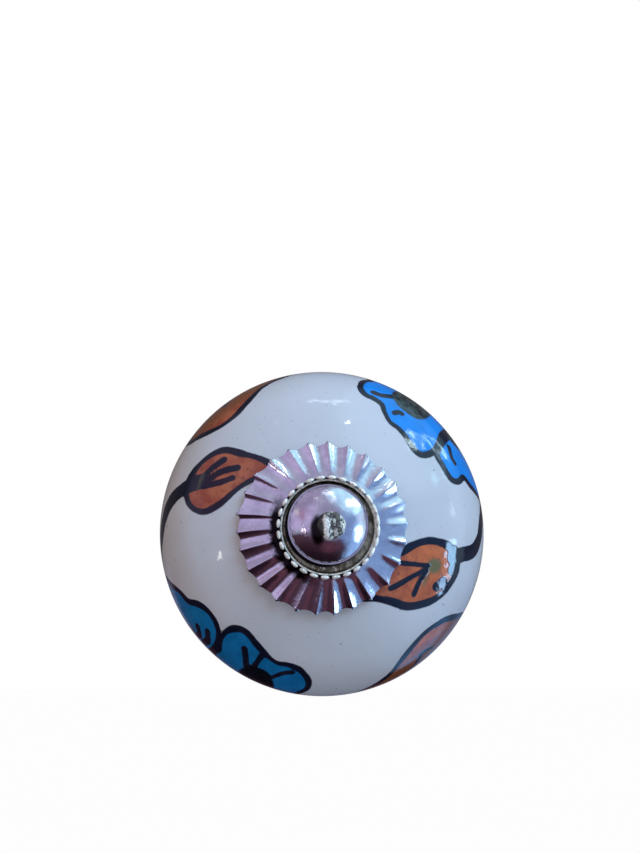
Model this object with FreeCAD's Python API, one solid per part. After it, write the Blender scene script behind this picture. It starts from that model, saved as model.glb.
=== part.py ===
import FreeCAD, Part
import math
import os
from FreeCAD import Vector

# A hand-painted ceramic cabinet knob on a threaded stud, in millimetres.
# The stud lies along Y. The painted head faces -Y, +Z is up, and y = 0 is the
# plane of the drawer front that the back collar is pulled against.

# Ceramic head
head_radius = 20.0
front_rise = 12.0
front_shoulder_radius = 9.0
back_shoulder_radius = 8.0
waist_radius = 8.0
neck_radius = 9.0
neck_length = 1.6
neck_edge_round = 0.5
seat_radius = 6.4
bore_clearance = 0.5

# Fluted rosette, pressed from thin sheet and fitted a little off the stud's axis
pleat_count = 26
first_ridge_clock = 3.7
rosette_tip_radius = 10.2
scallop_depth = 0.5
rosette_thickness = 0.35
pleat_height = 0.95
crest_halfway = 0.5
bottom_halfway = 0.35
rim_clearance = 0.25
rosette_offset = Vector(-0.57, 0, -0.2)

# Beaded ring, a shallow cup with a row of beads round its rim, also off the axis
bead_count = 28
first_bead_clock = 4.0
bead_tip_radius = 6.05
bead_notch = 0.3
bead_corners = 3
bead_slope = 0.15
bead_length = 0.9
bead_setback = 0.25
ring_inner_radius = 5.36
ring_wall = 0.35
ring_height = 1.9
ring_floor = 0.5
ring_offset = Vector(0, 0, -0.46)

# Dome cap, a spun cap with a plain skirt below a fine lip
dome_lip_radius = 4.7
dome_lip_height = 0.25
dome_lip_overhang = 0.2
dome_skirt_height = 1.0
dome_rise = 1.75
dome_wall = 0.55
dome_land_radius = 2.2

# Stud, with its front end reduced, passed through the dome and hammered over
thread_radius = 2.0
thread_pitch = 0.7
stud_projection = 30.0
stud_end_chamfer = 0.5
spigot_radius = 1.25
hole_clearance = 0.1
spigot_clearance = 0.05
peen_radius = 1.65
peen_side_height = 0.4
peen_crown = 0.45
peen_offset = Vector(0.15, 0, -0.3)
hammer_marks = 7
hammer_turn = 137.5
least_hammer_tilt = 3.0
most_hammer_tilt = 18.0

# Back collar, with a dish for the neck in front and a recess for the lock nut behind
dish_depth = 0.8
dish_clearance = 0.1
dish_wall = 0.8
collar_floor = 1.4
collar_lip_length = 1.0
foot_radius = 11.0
foot_length = 1.4
foot_chamfer = 0.3
stud_hole_clearance = 0.25
spanner_clearance = 1.0

# Nuts and washer
nut_across_flats = 7.0
lock_nut_thickness = 2.2
lock_nut_setback = 0.6
fixing_nut_thickness = 3.2
washer_radius = 4.5
washer_bore_radius = 2.15
washer_thickness = 0.8
drawer_front = 18.0

# Curved profiles are turned in short straight cuts that stay this close to the true curve,
# and the big head is closed round with flats, so that the whole knob stays light
head_cut_error = 0.1
dome_cut_error = 0.1
head_flats = 60

# A thread is plain at its outside radius where it is free, and at its pitch radius where a nut is
# on it, because threads in mesh meet there. The shank in the head has the pitch radius too.
pitch_radius = thread_radius - 0.6495 * thread_pitch / 2
nut_corner_radius = nut_across_flats / 2 / math.cos(math.pi / 6)

# Places along the stud, from the drawer front forward
recess_depth = lock_nut_thickness + lock_nut_setback
neck_end = -(recess_depth + collar_floor)
collar_front = neck_end - dish_depth
waist_place = neck_end - neck_length
shoulder_reach = (neck_radius + waist_radius) - (head_radius - back_shoulder_radius)
back_fall = math.sqrt((back_shoulder_radius + waist_radius) ** 2 - shoulder_reach ** 2)
widest_place = waist_place - back_fall

# The front crown is a sphere tangent to the round of the front shoulder
shoulder_centre_radius = head_radius - front_shoulder_radius
crown_radius = (shoulder_centre_radius ** 2 + front_rise ** 2 - front_shoulder_radius ** 2) / (
    2 * (front_rise - front_shoulder_radius))
crown_centre = widest_place - front_rise + crown_radius


def crown_place(radius):
    """Where the front crown lies along Y at a distance from the axis."""
    return crown_centre - math.sqrt(crown_radius ** 2 - radius ** 2)


seat_place = crown_place(seat_radius)
rosette_front = seat_place - rosette_thickness
ring_floor_front = rosette_front - ring_floor

# A pleat's bottom falls from the rosette's flat to the rim and stops short of the glaze there,
# also where the offset brings the rim nearest to the axis
nearest_rim_radius = rosette_tip_radius - scallop_depth - rosette_offset.Length
valley_fall = crown_place(nearest_rim_radius) - seat_place - rim_clearance

# The dome's outside is a sphere that stands on the lip
dome_radius = (dome_lip_radius ** 2 + dome_rise ** 2) / (2 * dome_rise)
dome_top = ring_floor_front - dome_skirt_height - dome_lip_height - dome_rise
dome_centre = dome_top + dome_radius
dome_land = dome_centre - math.sqrt((dome_radius - dome_wall) ** 2 - dome_land_radius ** 2)

# The rest of the fits
body_bore_radius = thread_radius + bore_clearance
rosette_flat_radius = seat_radius + rosette_offset.Length
rosette_hole_radius = thread_radius + rosette_offset.Length + hole_clearance
ring_hole_radius = thread_radius + ring_offset.Length + hole_clearance
washer_front = drawer_front
fixing_nut_front = washer_front + washer_thickness
fixing_nut_back = fixing_nut_front + fixing_nut_thickness
lock_nut_back = lock_nut_thickness - recess_depth


def at(radius, y):
    """A point of a turned profile."""
    return Vector(radius, y, 0)


def arc_points(centre, start, end, error):
    """Points along the shorter arc from start to end, near enough together for the error."""
    radius = (start - centre).Length
    first = math.atan2(start.y - centre.y, start.x - centre.x)
    last = math.atan2(end.y - centre.y, end.x - centre.x)
    sweep = math.remainder(last - first, 2 * math.pi)
    steps = math.ceil(abs(sweep) / (2 * math.acos(1 - error / radius)))
    angles = [first + sweep * step / steps for step in range(steps + 1)]
    return [centre + Vector(math.cos(angle), math.sin(angle), 0) * radius for angle in angles]


def turn(points):
    """Revolve a closed profile about the knob's axis."""
    face = Part.Face(Part.makePolygon(points + points[:1]))
    return face.revolve(Vector(0, 0, 0), Vector(0, 1, 0), 360)


def flat_face(corners):
    return Part.Face(Part.makePolygon(corners + corners[:1]))


def solid_of(faces):
    """Join faces that meet edge to edge into one closed solid."""
    shell = Part.makeShell(faces)
    shell.sewShape()
    solid = Part.makeSolid(shell)
    if solid.Volume < 0:
        solid.reverse()
    return solid


def turn_in_flats(profile, flats):
    """Carry an open profile round the axis in equal steps, with flat faces and flat ends."""
    clocks = [360 * step / flats for step in range(flats + 1)]
    rings = [[clock_point(point.x, clock, point.y) for clock in clocks] for point in profile]
    faces = [flat_face(rings[0][:-1]), flat_face(rings[-1][:-1])]
    for near, far in zip(rings, rings[1:]):
        for step in range(flats):
            faces.append(flat_face([near[step], near[step + 1], far[step + 1], far[step]]))
    return solid_of(faces)


def rod(radius, start, end):
    """A plain cylinder on the knob's axis."""
    return Part.makeCylinder(radius, end - start, Vector(0, start, 0), Vector(0, 1, 0))


def clock_point(radius, clock, y):
    """A point at an angle counted clockwise from the top, as seen from the front."""
    angle = math.radians(clock)
    return Vector(radius * math.sin(angle), y, radius * math.cos(angle))


def ceramic_body():
    """The glazed head, waist and neck, with the stud's hole right through."""
    widest = at(head_radius, widest_place)
    waist = at(neck_radius, waist_place)
    waist_centre = at(neck_radius + waist_radius, waist_place)
    back_centre = at(head_radius - back_shoulder_radius, widest_place)
    front_centre = at(shoulder_centre_radius, widest_place)
    crown_point = at(0, crown_centre)
    towards_waist = (waist_centre - back_centre).normalize()
    towards_front = (front_centre - crown_point).normalize()
    back_meets_waist = back_centre + towards_waist * back_shoulder_radius
    front_meets_crown = crown_point + towards_front * crown_radius
    round_start = at(neck_radius - neck_edge_round, neck_end)
    round_end = at(neck_radius, neck_end - neck_edge_round)
    profile = [round_start, round_end]
    profile += arc_points(waist_centre, waist, back_meets_waist, head_cut_error)
    profile += arc_points(back_centre, back_meets_waist, widest, head_cut_error)[1:]
    profile += arc_points(front_centre, widest, front_meets_crown, head_cut_error)[1:]
    profile += arc_points(crown_point, front_meets_crown, at(seat_radius, seat_place), head_cut_error)[1:]
    bore = rod(body_bore_radius, seat_place, neck_end)
    return turn_in_flats(profile, head_flats).cut(bore)


def pleat_line(clock, is_ridge):
    """Points down a pleat's crest or bottom, on the sheet's front, from the flat to the rim."""
    if is_ridge:
        tip_radius = rosette_tip_radius
        rises = (0, pleat_height * crest_halfway, pleat_height - valley_fall)
    else:
        tip_radius = rosette_tip_radius - scallop_depth
        rises = (0, -valley_fall * bottom_halfway, -valley_fall)
    middle_radius = (rosette_flat_radius + tip_radius) / 2
    radii = (rosette_flat_radius, middle_radius, tip_radius)
    return [clock_point(radius, clock, rosette_front - rise) for radius, rise in zip(radii, rises)]


def fluted_rosette():
    """The pressed washer: a flat with a hole, then pleats that open out to a scalloped rim."""
    thickness = Vector(0, rosette_thickness, 0)
    half_pleat = 180 / pleat_count
    front_faces = []
    rim_faces = []
    flat_corners = []
    for step in range(2 * pleat_count):
        clock = first_ridge_clock + step * half_pleat
        near = pleat_line(clock, step % 2 == 0)
        far = pleat_line(clock + half_pleat, step % 2 == 1)
        flat_corners.append(near[0])
        for inner, outer in ((0, 1), (1, 2)):
            front_faces.append(flat_face([near[inner], near[outer], far[outer]]))
            front_faces.append(flat_face([near[inner], far[outer], far[inner]]))
        rim_faces.append(flat_face([near[2], far[2], far[2] + thickness, near[2] + thickness]))
    hole = Part.makeCircle(rosette_hole_radius, Vector(0, rosette_front, 0), Vector(0, 1, 0))
    flat_outline = Part.makePolygon(flat_corners + flat_corners[:1])
    front_faces.append(Part.Face([flat_outline, Part.Wire(hole)]))
    back_faces = [face.translated(thickness) for face in front_faces]
    rosette = solid_of(front_faces + back_faces + rim_faces + [hole.extrude(thickness)])
    return rosette.translated(rosette_offset)


def bead_outline(outer_radius, y):
    """A ring of round lobes, one for each bead, that meet in notches."""
    pitch = 360 / bead_count
    corners = []
    for bead in range(bead_count):
        middle = first_bead_clock + bead * pitch
        corners.append(clock_point(outer_radius - bead_notch, middle - pitch / 2, y))
        for corner in range(bead_corners):
            side = (corner + 1) / (bead_corners + 1) - 0.5
            lobe_radius = outer_radius - bead_notch * (2 * side) ** 2
            corners.append(clock_point(lobe_radius, middle + side * pitch, y))
    return Part.makePolygon(corners + corners[:1])


def beaded_ring():
    """The cup: a floor with a hole, a thin upright wall, and a row of beads round its outside."""
    outer_radius = ring_inner_radius + ring_wall
    rim = rosette_front - ring_height
    cup = turn([
        at(ring_hole_radius, rosette_front),
        at(outer_radius, rosette_front),
        at(outer_radius, rim),
        at(ring_inner_radius, rim),
        at(ring_inner_radius, ring_floor_front),
        at(ring_hole_radius, ring_floor_front),
    ])
    bead_front = rim + bead_setback
    bead_middle = bead_front + bead_length / 2
    bead_back = bead_front + bead_length
    band = Part.makeLoft([
        bead_outline(bead_tip_radius - bead_slope, bead_front),
        bead_outline(bead_tip_radius, bead_middle),
        bead_outline(bead_tip_radius - bead_slope, bead_back),
    ], True, True)
    band = band.cut(rod(ring_inner_radius + ring_wall / 2, bead_front, bead_back))
    return cup.fuse(band).translated(ring_offset)


def dome_blank():
    """The cap as if it were solid, from the skirt's foot to the top."""
    skirt_radius = dome_lip_radius - dome_lip_overhang
    skirt_top = ring_floor_front - dome_skirt_height
    lip_top = skirt_top - dome_lip_height
    profile = [
        at(0, ring_floor_front),
        at(skirt_radius, ring_floor_front),
        at(skirt_radius, skirt_top),
        at(dome_lip_radius, skirt_top),
    ]
    profile += arc_points(at(0, dome_centre), at(dome_lip_radius, lip_top), at(0, dome_top), dome_cut_error)
    return turn(profile)


def dome_cap():
    """The spun cap: a thin shell with a lip, and a flat land inside for the stud's shoulder."""
    inner_radius = dome_lip_radius - dome_lip_overhang - dome_wall
    inner_edge = dome_centre - math.sqrt((dome_radius - dome_wall) ** 2 - inner_radius ** 2)
    inside = turn([
        at(0, ring_floor_front),
        at(inner_radius, ring_floor_front),
        at(inner_radius, inner_edge),
        at(dome_land_radius, dome_land),
        at(0, dome_land),
    ])
    hole = rod(spigot_radius + spigot_clearance, dome_top, dome_land)
    return dome_blank().cut(inside).cut(hole)


def peened_head():
    """The hammered end: uneven flats round a low crown, resting on the dome all round."""
    peen_front = dome_top - peen_side_height - peen_crown
    crown = (peen_radius ** 2 + peen_crown ** 2) / (2 * peen_crown)
    head = rod(peen_radius, peen_front, dome_centre)
    block = 4 * peen_radius
    for mark in range(hammer_marks):
        tilt = least_hammer_tilt + (most_hammer_tilt - least_hammer_tilt) * mark / (hammer_marks - 1)
        hammer = Part.makeBox(block, block, block, Vector(-block / 2, -block - crown, -block / 2))
        hammer.rotate(Vector(0, 0, 0), Vector(1, 0, 0), tilt)
        hammer.rotate(Vector(0, 0, 0), Vector(0, 1, 0), hammer_turn * mark)
        hammer.translate(Vector(0, peen_front + crown, 0))
        head = head.cut(hammer)
    return head.translated(peen_offset).cut(dome_blank())


def threaded_stud():
    """The stud: a hammered head, a plain shank to the lock nut, then thread to the back end."""
    spigot = rod(spigot_radius, dome_top, dome_land)
    shank = rod(pitch_radius, dome_land, lock_nut_back)
    middle_length = rod(thread_radius, lock_nut_back, fixing_nut_front)
    fixing_length = rod(pitch_radius, fixing_nut_front, fixing_nut_back)
    chamfer_start = stud_projection - stud_end_chamfer
    free_length = rod(thread_radius, fixing_nut_back, chamfer_start)
    end = Part.makeCone(
        thread_radius, thread_radius - stud_end_chamfer, stud_end_chamfer,
        Vector(0, chamfer_start, 0), Vector(0, 1, 0))
    lengths = [spigot, shank, middle_length, fixing_length, free_length, end]
    return peened_head().multiFuse(lengths).removeSplitter()


def back_collar():
    """The turned base that holds the neck in a dish and hides the lock nut in a recess."""
    dish_radius = neck_radius + dish_clearance
    lip_radius = dish_radius + dish_wall
    hole_radius = thread_radius + stud_hole_clearance
    recess_radius = nut_corner_radius + spanner_clearance
    lip_end = at(lip_radius, collar_front + collar_lip_length)
    foot_start = at(foot_radius, -foot_length)
    return turn([
        at(foot_radius, -foot_chamfer),
        at(foot_radius - foot_chamfer, 0),
        at(recess_radius, 0),
        at(recess_radius, -recess_depth),
        at(hole_radius, -recess_depth),
        at(hole_radius, neck_end),
        at(dish_radius, neck_end),
        at(dish_radius, collar_front),
        at(lip_radius, collar_front),
        lip_end,
        foot_start,
    ])


def hexagon_nut(front, thickness):
    """A nut with the corners of its back face turned off."""
    back = front + thickness
    corners = [clock_point(nut_corner_radius, 60 * side, front) for side in range(7)]
    blank = Part.Face(Part.makePolygon(corners)).extrude(Vector(0, thickness, 0))
    face_radius = nut_across_flats / 2
    bevel = (nut_corner_radius - face_radius) * math.tan(math.pi / 6)
    turned = turn([
        at(0, front),
        at(nut_corner_radius, front),
        at(nut_corner_radius, back - bevel),
        at(face_radius, back),
        at(0, back),
    ])
    return blank.common(turned).cut(rod(pitch_radius, front, back))


def fixing_washer():
    """The plain washer behind the drawer front."""
    disc = rod(washer_radius, washer_front, washer_front + washer_thickness)
    return disc.cut(rod(washer_bore_radius, washer_front, washer_front + washer_thickness))


pieces = {
    "ceramic_body": ceramic_body(),
    "fluted_rosette": fluted_rosette(),
    "beaded_ring": beaded_ring(),
    "dome_cap": dome_cap(),
    "threaded_stud": threaded_stud(),
    "back_collar": back_collar(),
    "lock_nut": hexagon_nut(-recess_depth, lock_nut_thickness),
    "fixing_washer": fixing_washer(),
    "fixing_nut": hexagon_nut(fixing_nut_front, fixing_nut_thickness),
}
os.makedirs("parts", exist_ok=True)
for name, shape in pieces.items():
    shape.exportStep("parts/" + name + ".step")
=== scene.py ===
import math
import random
import bmesh
import bpy
import numpy as np
from mathutils import Matrix, Vector, noise


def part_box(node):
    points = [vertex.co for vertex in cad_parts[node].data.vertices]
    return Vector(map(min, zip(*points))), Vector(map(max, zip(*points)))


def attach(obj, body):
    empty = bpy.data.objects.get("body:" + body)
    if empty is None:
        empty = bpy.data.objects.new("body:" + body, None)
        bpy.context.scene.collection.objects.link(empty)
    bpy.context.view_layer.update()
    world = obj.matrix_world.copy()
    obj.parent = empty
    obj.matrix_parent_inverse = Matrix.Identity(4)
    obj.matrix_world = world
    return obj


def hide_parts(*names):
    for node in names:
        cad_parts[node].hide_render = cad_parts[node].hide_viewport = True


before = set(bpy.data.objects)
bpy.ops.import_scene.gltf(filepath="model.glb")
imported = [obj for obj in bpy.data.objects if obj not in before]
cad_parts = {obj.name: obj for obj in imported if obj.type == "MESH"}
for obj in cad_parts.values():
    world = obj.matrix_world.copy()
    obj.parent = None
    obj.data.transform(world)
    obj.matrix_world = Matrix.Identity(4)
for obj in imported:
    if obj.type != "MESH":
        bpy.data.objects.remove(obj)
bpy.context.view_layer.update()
scene = bpy.context.scene
scene.view_settings.view_transform = "Standard"
mm = 0.001

# Camera
# The knob is seen from about 20 cm, from a little below and to the left of its axis. It stands
# low in the picture, so the camera is turned up to frame it and the lens isn't shifted.
camera_azimuth = math.radians(-3.43)
camera_elevation = math.radians(-4.3)
camera_distance = 200 * mm
camera_pitch = math.radians(7.90)
camera_turn = math.radians(3.285)
head_low, head_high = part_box("ceramic_body")
head_middle = Vector((0, -25 * mm, 0))

camera = bpy.data.objects.new("camera", bpy.data.cameras.new("camera"))
scene.collection.objects.link(camera)
scene.camera = camera
camera.data.lens = 69.45
camera.data.sensor_width = 36
camera.data.clip_start = 1 * mm
camera.location = head_middle + camera_distance * Vector((
    math.sin(camera_azimuth) * math.cos(camera_elevation),
    -math.cos(camera_azimuth) * math.cos(camera_elevation),
    math.sin(camera_elevation)))
camera.rotation_euler = (math.pi / 2 + camera_pitch, 0, -camera_turn)

# Ceramic head
# Slip-cast white earthenware: a broad head, a waist and a neck in one piece, open down the middle
# for the stud. It is painted by hand under a clear, slightly wavy glaze.
head_radius = head_high.x
seat_radius = 6.4 * mm
bore_radius = 2.5 * mm
front_shoulder = 9 * mm
back_shoulder = 8 * mm
front_rise = 12 * mm
waist_radius = 8 * mm
neck_radius = 9 * mm
neck_length = 1.6 * mm
neck_round = 0.5 * mm
glaze_step = 0.27 * mm
glaze_columns = 480

neck_end = head_high.y
waist_place = neck_end - neck_length
waist_reach = neck_radius + waist_radius - (head_radius - back_shoulder)
widest_place = waist_place - math.sqrt((back_shoulder + waist_radius) ** 2 - waist_reach ** 2)
front_inset = head_radius - front_shoulder
crown_radius = (front_inset ** 2 + front_rise ** 2 - front_shoulder ** 2) / (2 * (front_rise - front_shoulder))
crown_centre = Vector((0, widest_place - front_rise + crown_radius, 0))


def arc(centre, start, end, step):
    """Points along the shorter arc about centre, from start to end, about a step apart."""
    radius = (start - centre).length
    first = math.atan2(start.y - centre.y, start.x - centre.x)
    last = math.atan2(end.y - centre.y, end.x - centre.x)
    sweep = math.remainder(last - first, math.tau)
    count = max(1, round(abs(sweep) * radius / step))
    angles = [first + sweep * index / count for index in range(count + 1)]
    return [centre + radius * Vector((math.cos(angle), math.sin(angle), 0)) for angle in angles]


def turned(profile, columns, layer_name=None, layer_values=()):
    """A bmesh of a closed profile spun about the knob's axis, with a value for each ring if asked."""
    bm = bmesh.new()
    layer = bm.verts.layers.float.new(layer_name) if layer_name else None
    corners = [bm.verts.new(point) for point in profile]
    sides = [bm.edges.new((near, far)) for near, far in zip(corners, corners[1:] + corners[:1])]
    for corner, value in zip(corners, layer_values):
        corner[layer] = value
    bmesh.ops.spin(
        bm, geom=corners + sides, cent=(0, 0, 0), axis=(0, 1, 0), angle=math.tau,
        steps=columns, use_merge=True)
    bmesh.ops.recalc_face_normals(bm, faces=bm.faces)
    return bm


def finished(name, bm, material, replaced, sharp_angle=30):
    """Turn a bmesh into a smooth piece that rides on the knob and stands for a node."""
    mesh = bpy.data.meshes.new(name)
    bm.to_mesh(mesh)
    bm.free()
    mesh.shade_smooth()
    mesh.set_sharp_from_angle(angle=math.radians(sharp_angle))
    piece = bpy.data.objects.new(name, mesh)
    scene.collection.objects.link(piece)
    mesh.materials.append(material)
    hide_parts(*replaced)
    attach(piece, "root")
    return piece


front_centre = Vector((front_inset, widest_place, 0))
back_centre = Vector((head_radius - back_shoulder, widest_place, 0))
waist_centre = Vector((neck_radius + waist_radius, waist_place, 0))
seat_place = crown_centre.y - math.sqrt(crown_radius ** 2 - seat_radius ** 2)
widest = Vector((head_radius, widest_place, 0))
front_join = crown_centre + (front_centre - crown_centre).normalized() * crown_radius
back_join = back_centre + (waist_centre - back_centre).normalized() * back_shoulder
neck_corner = Vector((neck_radius - neck_round, neck_end - neck_round, 0))
glaze_line = arc(crown_centre, Vector((seat_radius, seat_place, 0)), front_join, glaze_step)
glaze_line += arc(front_centre, front_join, widest, glaze_step)[1:]
glaze_line += arc(back_centre, widest, back_join, glaze_step)[1:]
glaze_line += arc(waist_centre, back_join, Vector((neck_radius, waist_place, 0)), 2 * glaze_step)[1:]
glaze_line += arc(
    neck_corner, neck_corner + Vector((neck_round, 0, 0)), neck_corner + Vector((0, neck_round, 0)), glaze_step)
bore_line = [Vector((bore_radius, neck_end, 0)), Vector((bore_radius, seat_place, 0))]
seat_along = crown_radius * math.asin(seat_radius / crown_radius)
alongs = [seat_along]
for near, far in zip(glaze_line, glaze_line[1:]):
    alongs.append(alongs[-1] + (far - near).length)
head_bm = turned(glaze_line + bore_line, glaze_columns, "along", alongs + [alongs[-1], 0])

# The painting: each place on the glaze is a clock angle, clockwise from the top as seen from the
# front, and a distance along the glaze from the axis in millimetres. Outlines and strokes are
# smooth lines through a few such places.
olive_smears = [
    [(106.5, 13.3), (105.8, 14.5), (108, 15.1), (112, 14.9), (114, 14.2), (113, 13.3), (110, 12.9)],
    [(121, 13.5), (115.5, 13.4), (114.4, 13.9), (121, 14.1)]]
outline_width = 0.84
bold_outline_width = 0.98
stem_width = 1.9
leaf_vein_width = 0.70
bloom_vein_width = 0.85

left_leaf = [
    (318.6, 9.1), (315.4, 11.4), (311.4, 13.4), (307.3, 15.9), (301.3, 17.3), (294.3, 18.2), (288.3, 18.6),
    (282.3, 18.1), (278.4, 17.0), (276.9, 15.6), (278.5, 14.3), (283.5, 13.0), (292.6, 11.7), (305.6, 10.1)]
right_leaf = [
    (155.7, 9.3), (139.4, 8.1), (119.2, 8.1), (108.3, 9.5), (100.9, 11.0), (97.5, 12.8), (98.1, 15.0),
    (101.7, 16.7), (107.7, 17.4), (114.7, 17.1), (121.7, 16.4), (128.7, 15.1), (134.7, 13.7), (139.6, 11.8),
    (146.6, 10.3)]
low_leaf = [
    (121.4, 22.8), (125.8, 20.0), (131.8, 18.7), (137.8, 18.4), (143.9, 18.8), (149.9, 19.8), (154.9, 21.2),
    (160, 22.6), (167, 24.2), (172, 26.5), (166, 29.5), (156, 32.0), (145, 32.5), (134, 31.0), (125, 28.0),
    (121, 25.3)]
high_leaf = [
    (303.6, 22.3), (309.2, 20.2), (314.2, 19.0), (320.2, 18.7), (325.1, 19.1), (331.1, 20.1), (336.1, 21.3),
    (341.1, 22.2), (347, 23.2), (353, 25.5), (346, 29.0), (336, 31.5), (325, 32.0), (314, 31.0), (306, 28.0),
    (302.5, 24.8)]
low_bloom = [
    (221.6, 21.6), (223.5, 19.7), (223.6, 17.9), (221.3, 16.7), (217.2, 16.3), (212.2, 16.7), (206.2, 17.4),
    (200.1, 18.0), (195.1, 17.8), (190.1, 18.2), (186.6, 19.6), (186.2, 21.5), (189, 23.8), (189.5, 26.2),
    (188, 28.8), (191, 31.5), (198, 33.0), (204, 31.5), (209, 33.0), (216, 32.0), (220, 29.0), (219, 26.3),
    (222, 24.0)]
low_side_bloom = [
    (251.1, 23.3), (247.2, 21.4), (242.2, 20.4), (239.8, 19.2), (236.3, 18.4), (231.3, 18.2), (226.7, 18.8),
    (224.2, 19.8), (222.6, 21.6), (223, 24.3), (224, 27.5), (228, 30.5), (234, 32.0), (240, 31.0),
    (244, 29.3), (250, 29.0), (255, 27.0), (254, 24.8)]
high_bloom = [
    (17.5, 22.5), (14.7, 21.0), (14, 19.2), (16.3, 18.1), (20.4, 17.8), (24.2, 17.4), (26.9, 16.4),
    (31, 15.5), (35.6, 15.4), (39.9, 15.2), (44, 14.9), (48.6, 14.6), (52.7, 15.0), (54.4, 16.2),
    (53.6, 17.7), (51.4, 19.8), (50.9, 22.5), (52, 25.5), (50, 28.5), (44, 30.5), (38, 29.8), (32, 31.5),
    (25, 30.5), (22, 27.5), (17, 26.5), (16, 23.9)]
high_side_bloom = [
    (55.0, 17.6), (57, 16.9), (61, 16.8), (65.6, 16.9), (69.2, 17.3), (70.4, 18.2), (69.4, 19.6),
    (73.2, 20.6), (76.9, 22.4), (80.5, 24.7), (79, 28.0), (73, 30.5), (66, 29.8), (60, 31.0), (55.5, 28.5),
    (54, 25.5), (52.9, 22.0), (53.4, 19.7)]
leaf_outlines = [left_leaf, right_leaf, low_leaf, high_leaf]
bloom_outlines = [low_bloom, low_side_bloom, high_bloom, high_side_bloom]
stems = [
    [(290.3, 16.6), (286.3, 18.6), (281.7, 20.6), (277.2, 21.9), (270.1, 23.2), (262, 24.8), (256, 26.5)],
    [(102.7, 16.4), (100.7, 17.8), (98.3, 19.6), (93.4, 21.1), (87.4, 22.0), (81, 23.6)]]
stem_joints = [[(100.0, 16.3), (104.5, 16.7), (108.5, 16.7)], [(114.6, 16.1), (118.0, 15.5)]]
stem_joint_width = 1.35
leaf_veins = [
    [(287.3, 17.0), (295.3, 16.3), (303.4, 15.2)], [(288.4, 16.4), (296.4, 14.9), (303.4, 13.0)],
    [(288.4, 16.0), (292.4, 14.2), (297, 12.9)],
    [(110.6, 13.3), (113.0, 11.6), (116.4, 9.9)], [(112.6, 13.2), (122.0, 11.7), (134.5, 10.6)],
    [(113.6, 13.3), (120.6, 13.1), (127.6, 13.4)],
    [(149, 24.5), (145, 22.9), (141.4, 21.2), (136.9, 21.9)], [(330, 26.5), (325, 24.0), (321.1, 22.7)],
    [(150.5, 26.2), (158, 25.2), (164, 25.4)], [(149.5, 27.2), (142, 28.2), (135, 28.0)],
    [(332, 27.6), (339, 26.2), (345, 26.4)], [(330.5, 28.4), (322, 28.8), (315, 28.0)]]
bloom_veins = [
    [(213.8, 18.4), (211.2, 19.8), (208.7, 22.0)], [(206.4, 17.6), (207.0, 19.2), (207.4, 21.5)],
    [(193.0, 18.8), (196.5, 19.4), (199.4, 20.7), (201.7, 21.8)],
    [(232.7, 21.6), (230, 22.8), (230.5, 24)], [(229.0, 20.5), (226.6, 22), (227, 24)],
    [(19.5, 19.0), (23.3, 19.1), (27.7, 20.0)], [(30.8, 17.1), (32.1, 17.6), (33.6, 17.7)],
    [(56.5, 19.8), (60.4, 19.1), (63, 19.1)]]
hearts = [
    [(211.5, 23.6), (210.4, 21.4), (208.4, 20.3), (204.7, 19.9), (201.0, 20.1), (199.0, 21.1), (197.6, 23.0),
     (197.4, 25.5), (203, 27.0), (209.5, 26.3)],
    [(26.6, 20.3), (29.7, 18.8), (33.2, 18.4), (36.8, 18.4), (40.1, 18.8), (42.2, 20.2), (42.6, 22.5),
     (41, 25.5), (35, 26.5), (29.5, 25.0), (27, 22.6)],
    [(52, 22), (56.4, 21.6), (60, 23.2), (60, 26.5), (55, 27.5), (51.5, 25.0)],
    [(228.5, 24.2), (234, 23.8), (240, 25.5), (238, 28.5), (230, 28.5)]]


def smooth_line(places, closed):
    """A curve through the places, as many short steps, each place being (clock, distance along)."""
    points = np.array(places, dtype=float)
    if closed:
        points = np.vstack([points[-1:], points, points[:2]])
    else:
        points = np.vstack([2 * points[0] - points[1], points, 2 * points[-1] - points[-2]])
    steps = np.linspace(0, 1, 8, endpoint=False)[:, None]
    spans = []
    for before, start, end, after in zip(points, points[1:], points[2:], points[3:]):
        bend = 2 * before - 5 * start + 4 * end - after
        twist = 3 * start - 3 * end + after - before
        spans.append(start + 0.5 * steps * (end - before + steps * (bend + steps * twist)))
    return np.vstack(spans + [points[-2:-1]])


def painted_depth(layer, places, width=0.0, closed=False):
    """Raise a layer to how deep each place on the glaze lies in a stroke, or in a closed outline."""
    line = smooth_line(places, closed)
    middle = (line[:, 0].min() + line[:, 0].max()) / 2
    spread = (line[:, 0].max() - line[:, 0].min()) / 2 + paint_margin_clock
    low, high = line[:, 1].min() - paint_margin, line[:, 1].max() + paint_margin
    turned_away = np.abs((glaze_clock - middle + 180) % 360 - 180)
    near = np.flatnonzero((turned_away < spread) & (glaze_along > low) & (glaze_along < high))
    offset = (glaze_clock[near] - middle + 180) % 360 - 180
    scale = np.radians(glaze_reach[near])
    away = np.full(len(near), 9.0)
    inside = np.zeros(len(near), dtype=bool)
    for (first_clock, first_along), (next_clock, next_along) in zip(line, line[1:]):
        start_u, start_v = (first_clock - middle - offset) * scale, first_along - glaze_along[near]
        step_u, step_v = (next_clock - first_clock) * scale, next_along - first_along
        length = np.maximum(step_u ** 2 + step_v ** 2, 1e-9)
        share = np.clip(-(start_u * step_u + start_v * step_v) / length, 0, 1)
        away = np.minimum(away, np.hypot(start_u + share * step_u, start_v + share * step_v))
        if step_v:
            crosses = (start_v > 0) != (start_v + step_v > 0)
            inside ^= crosses & (start_u - start_v * step_u / step_v > 0)
    depth = np.where(inside, away, -away) if closed else width / 2 - away
    layer[near] = np.maximum(layer[near], depth)


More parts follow.
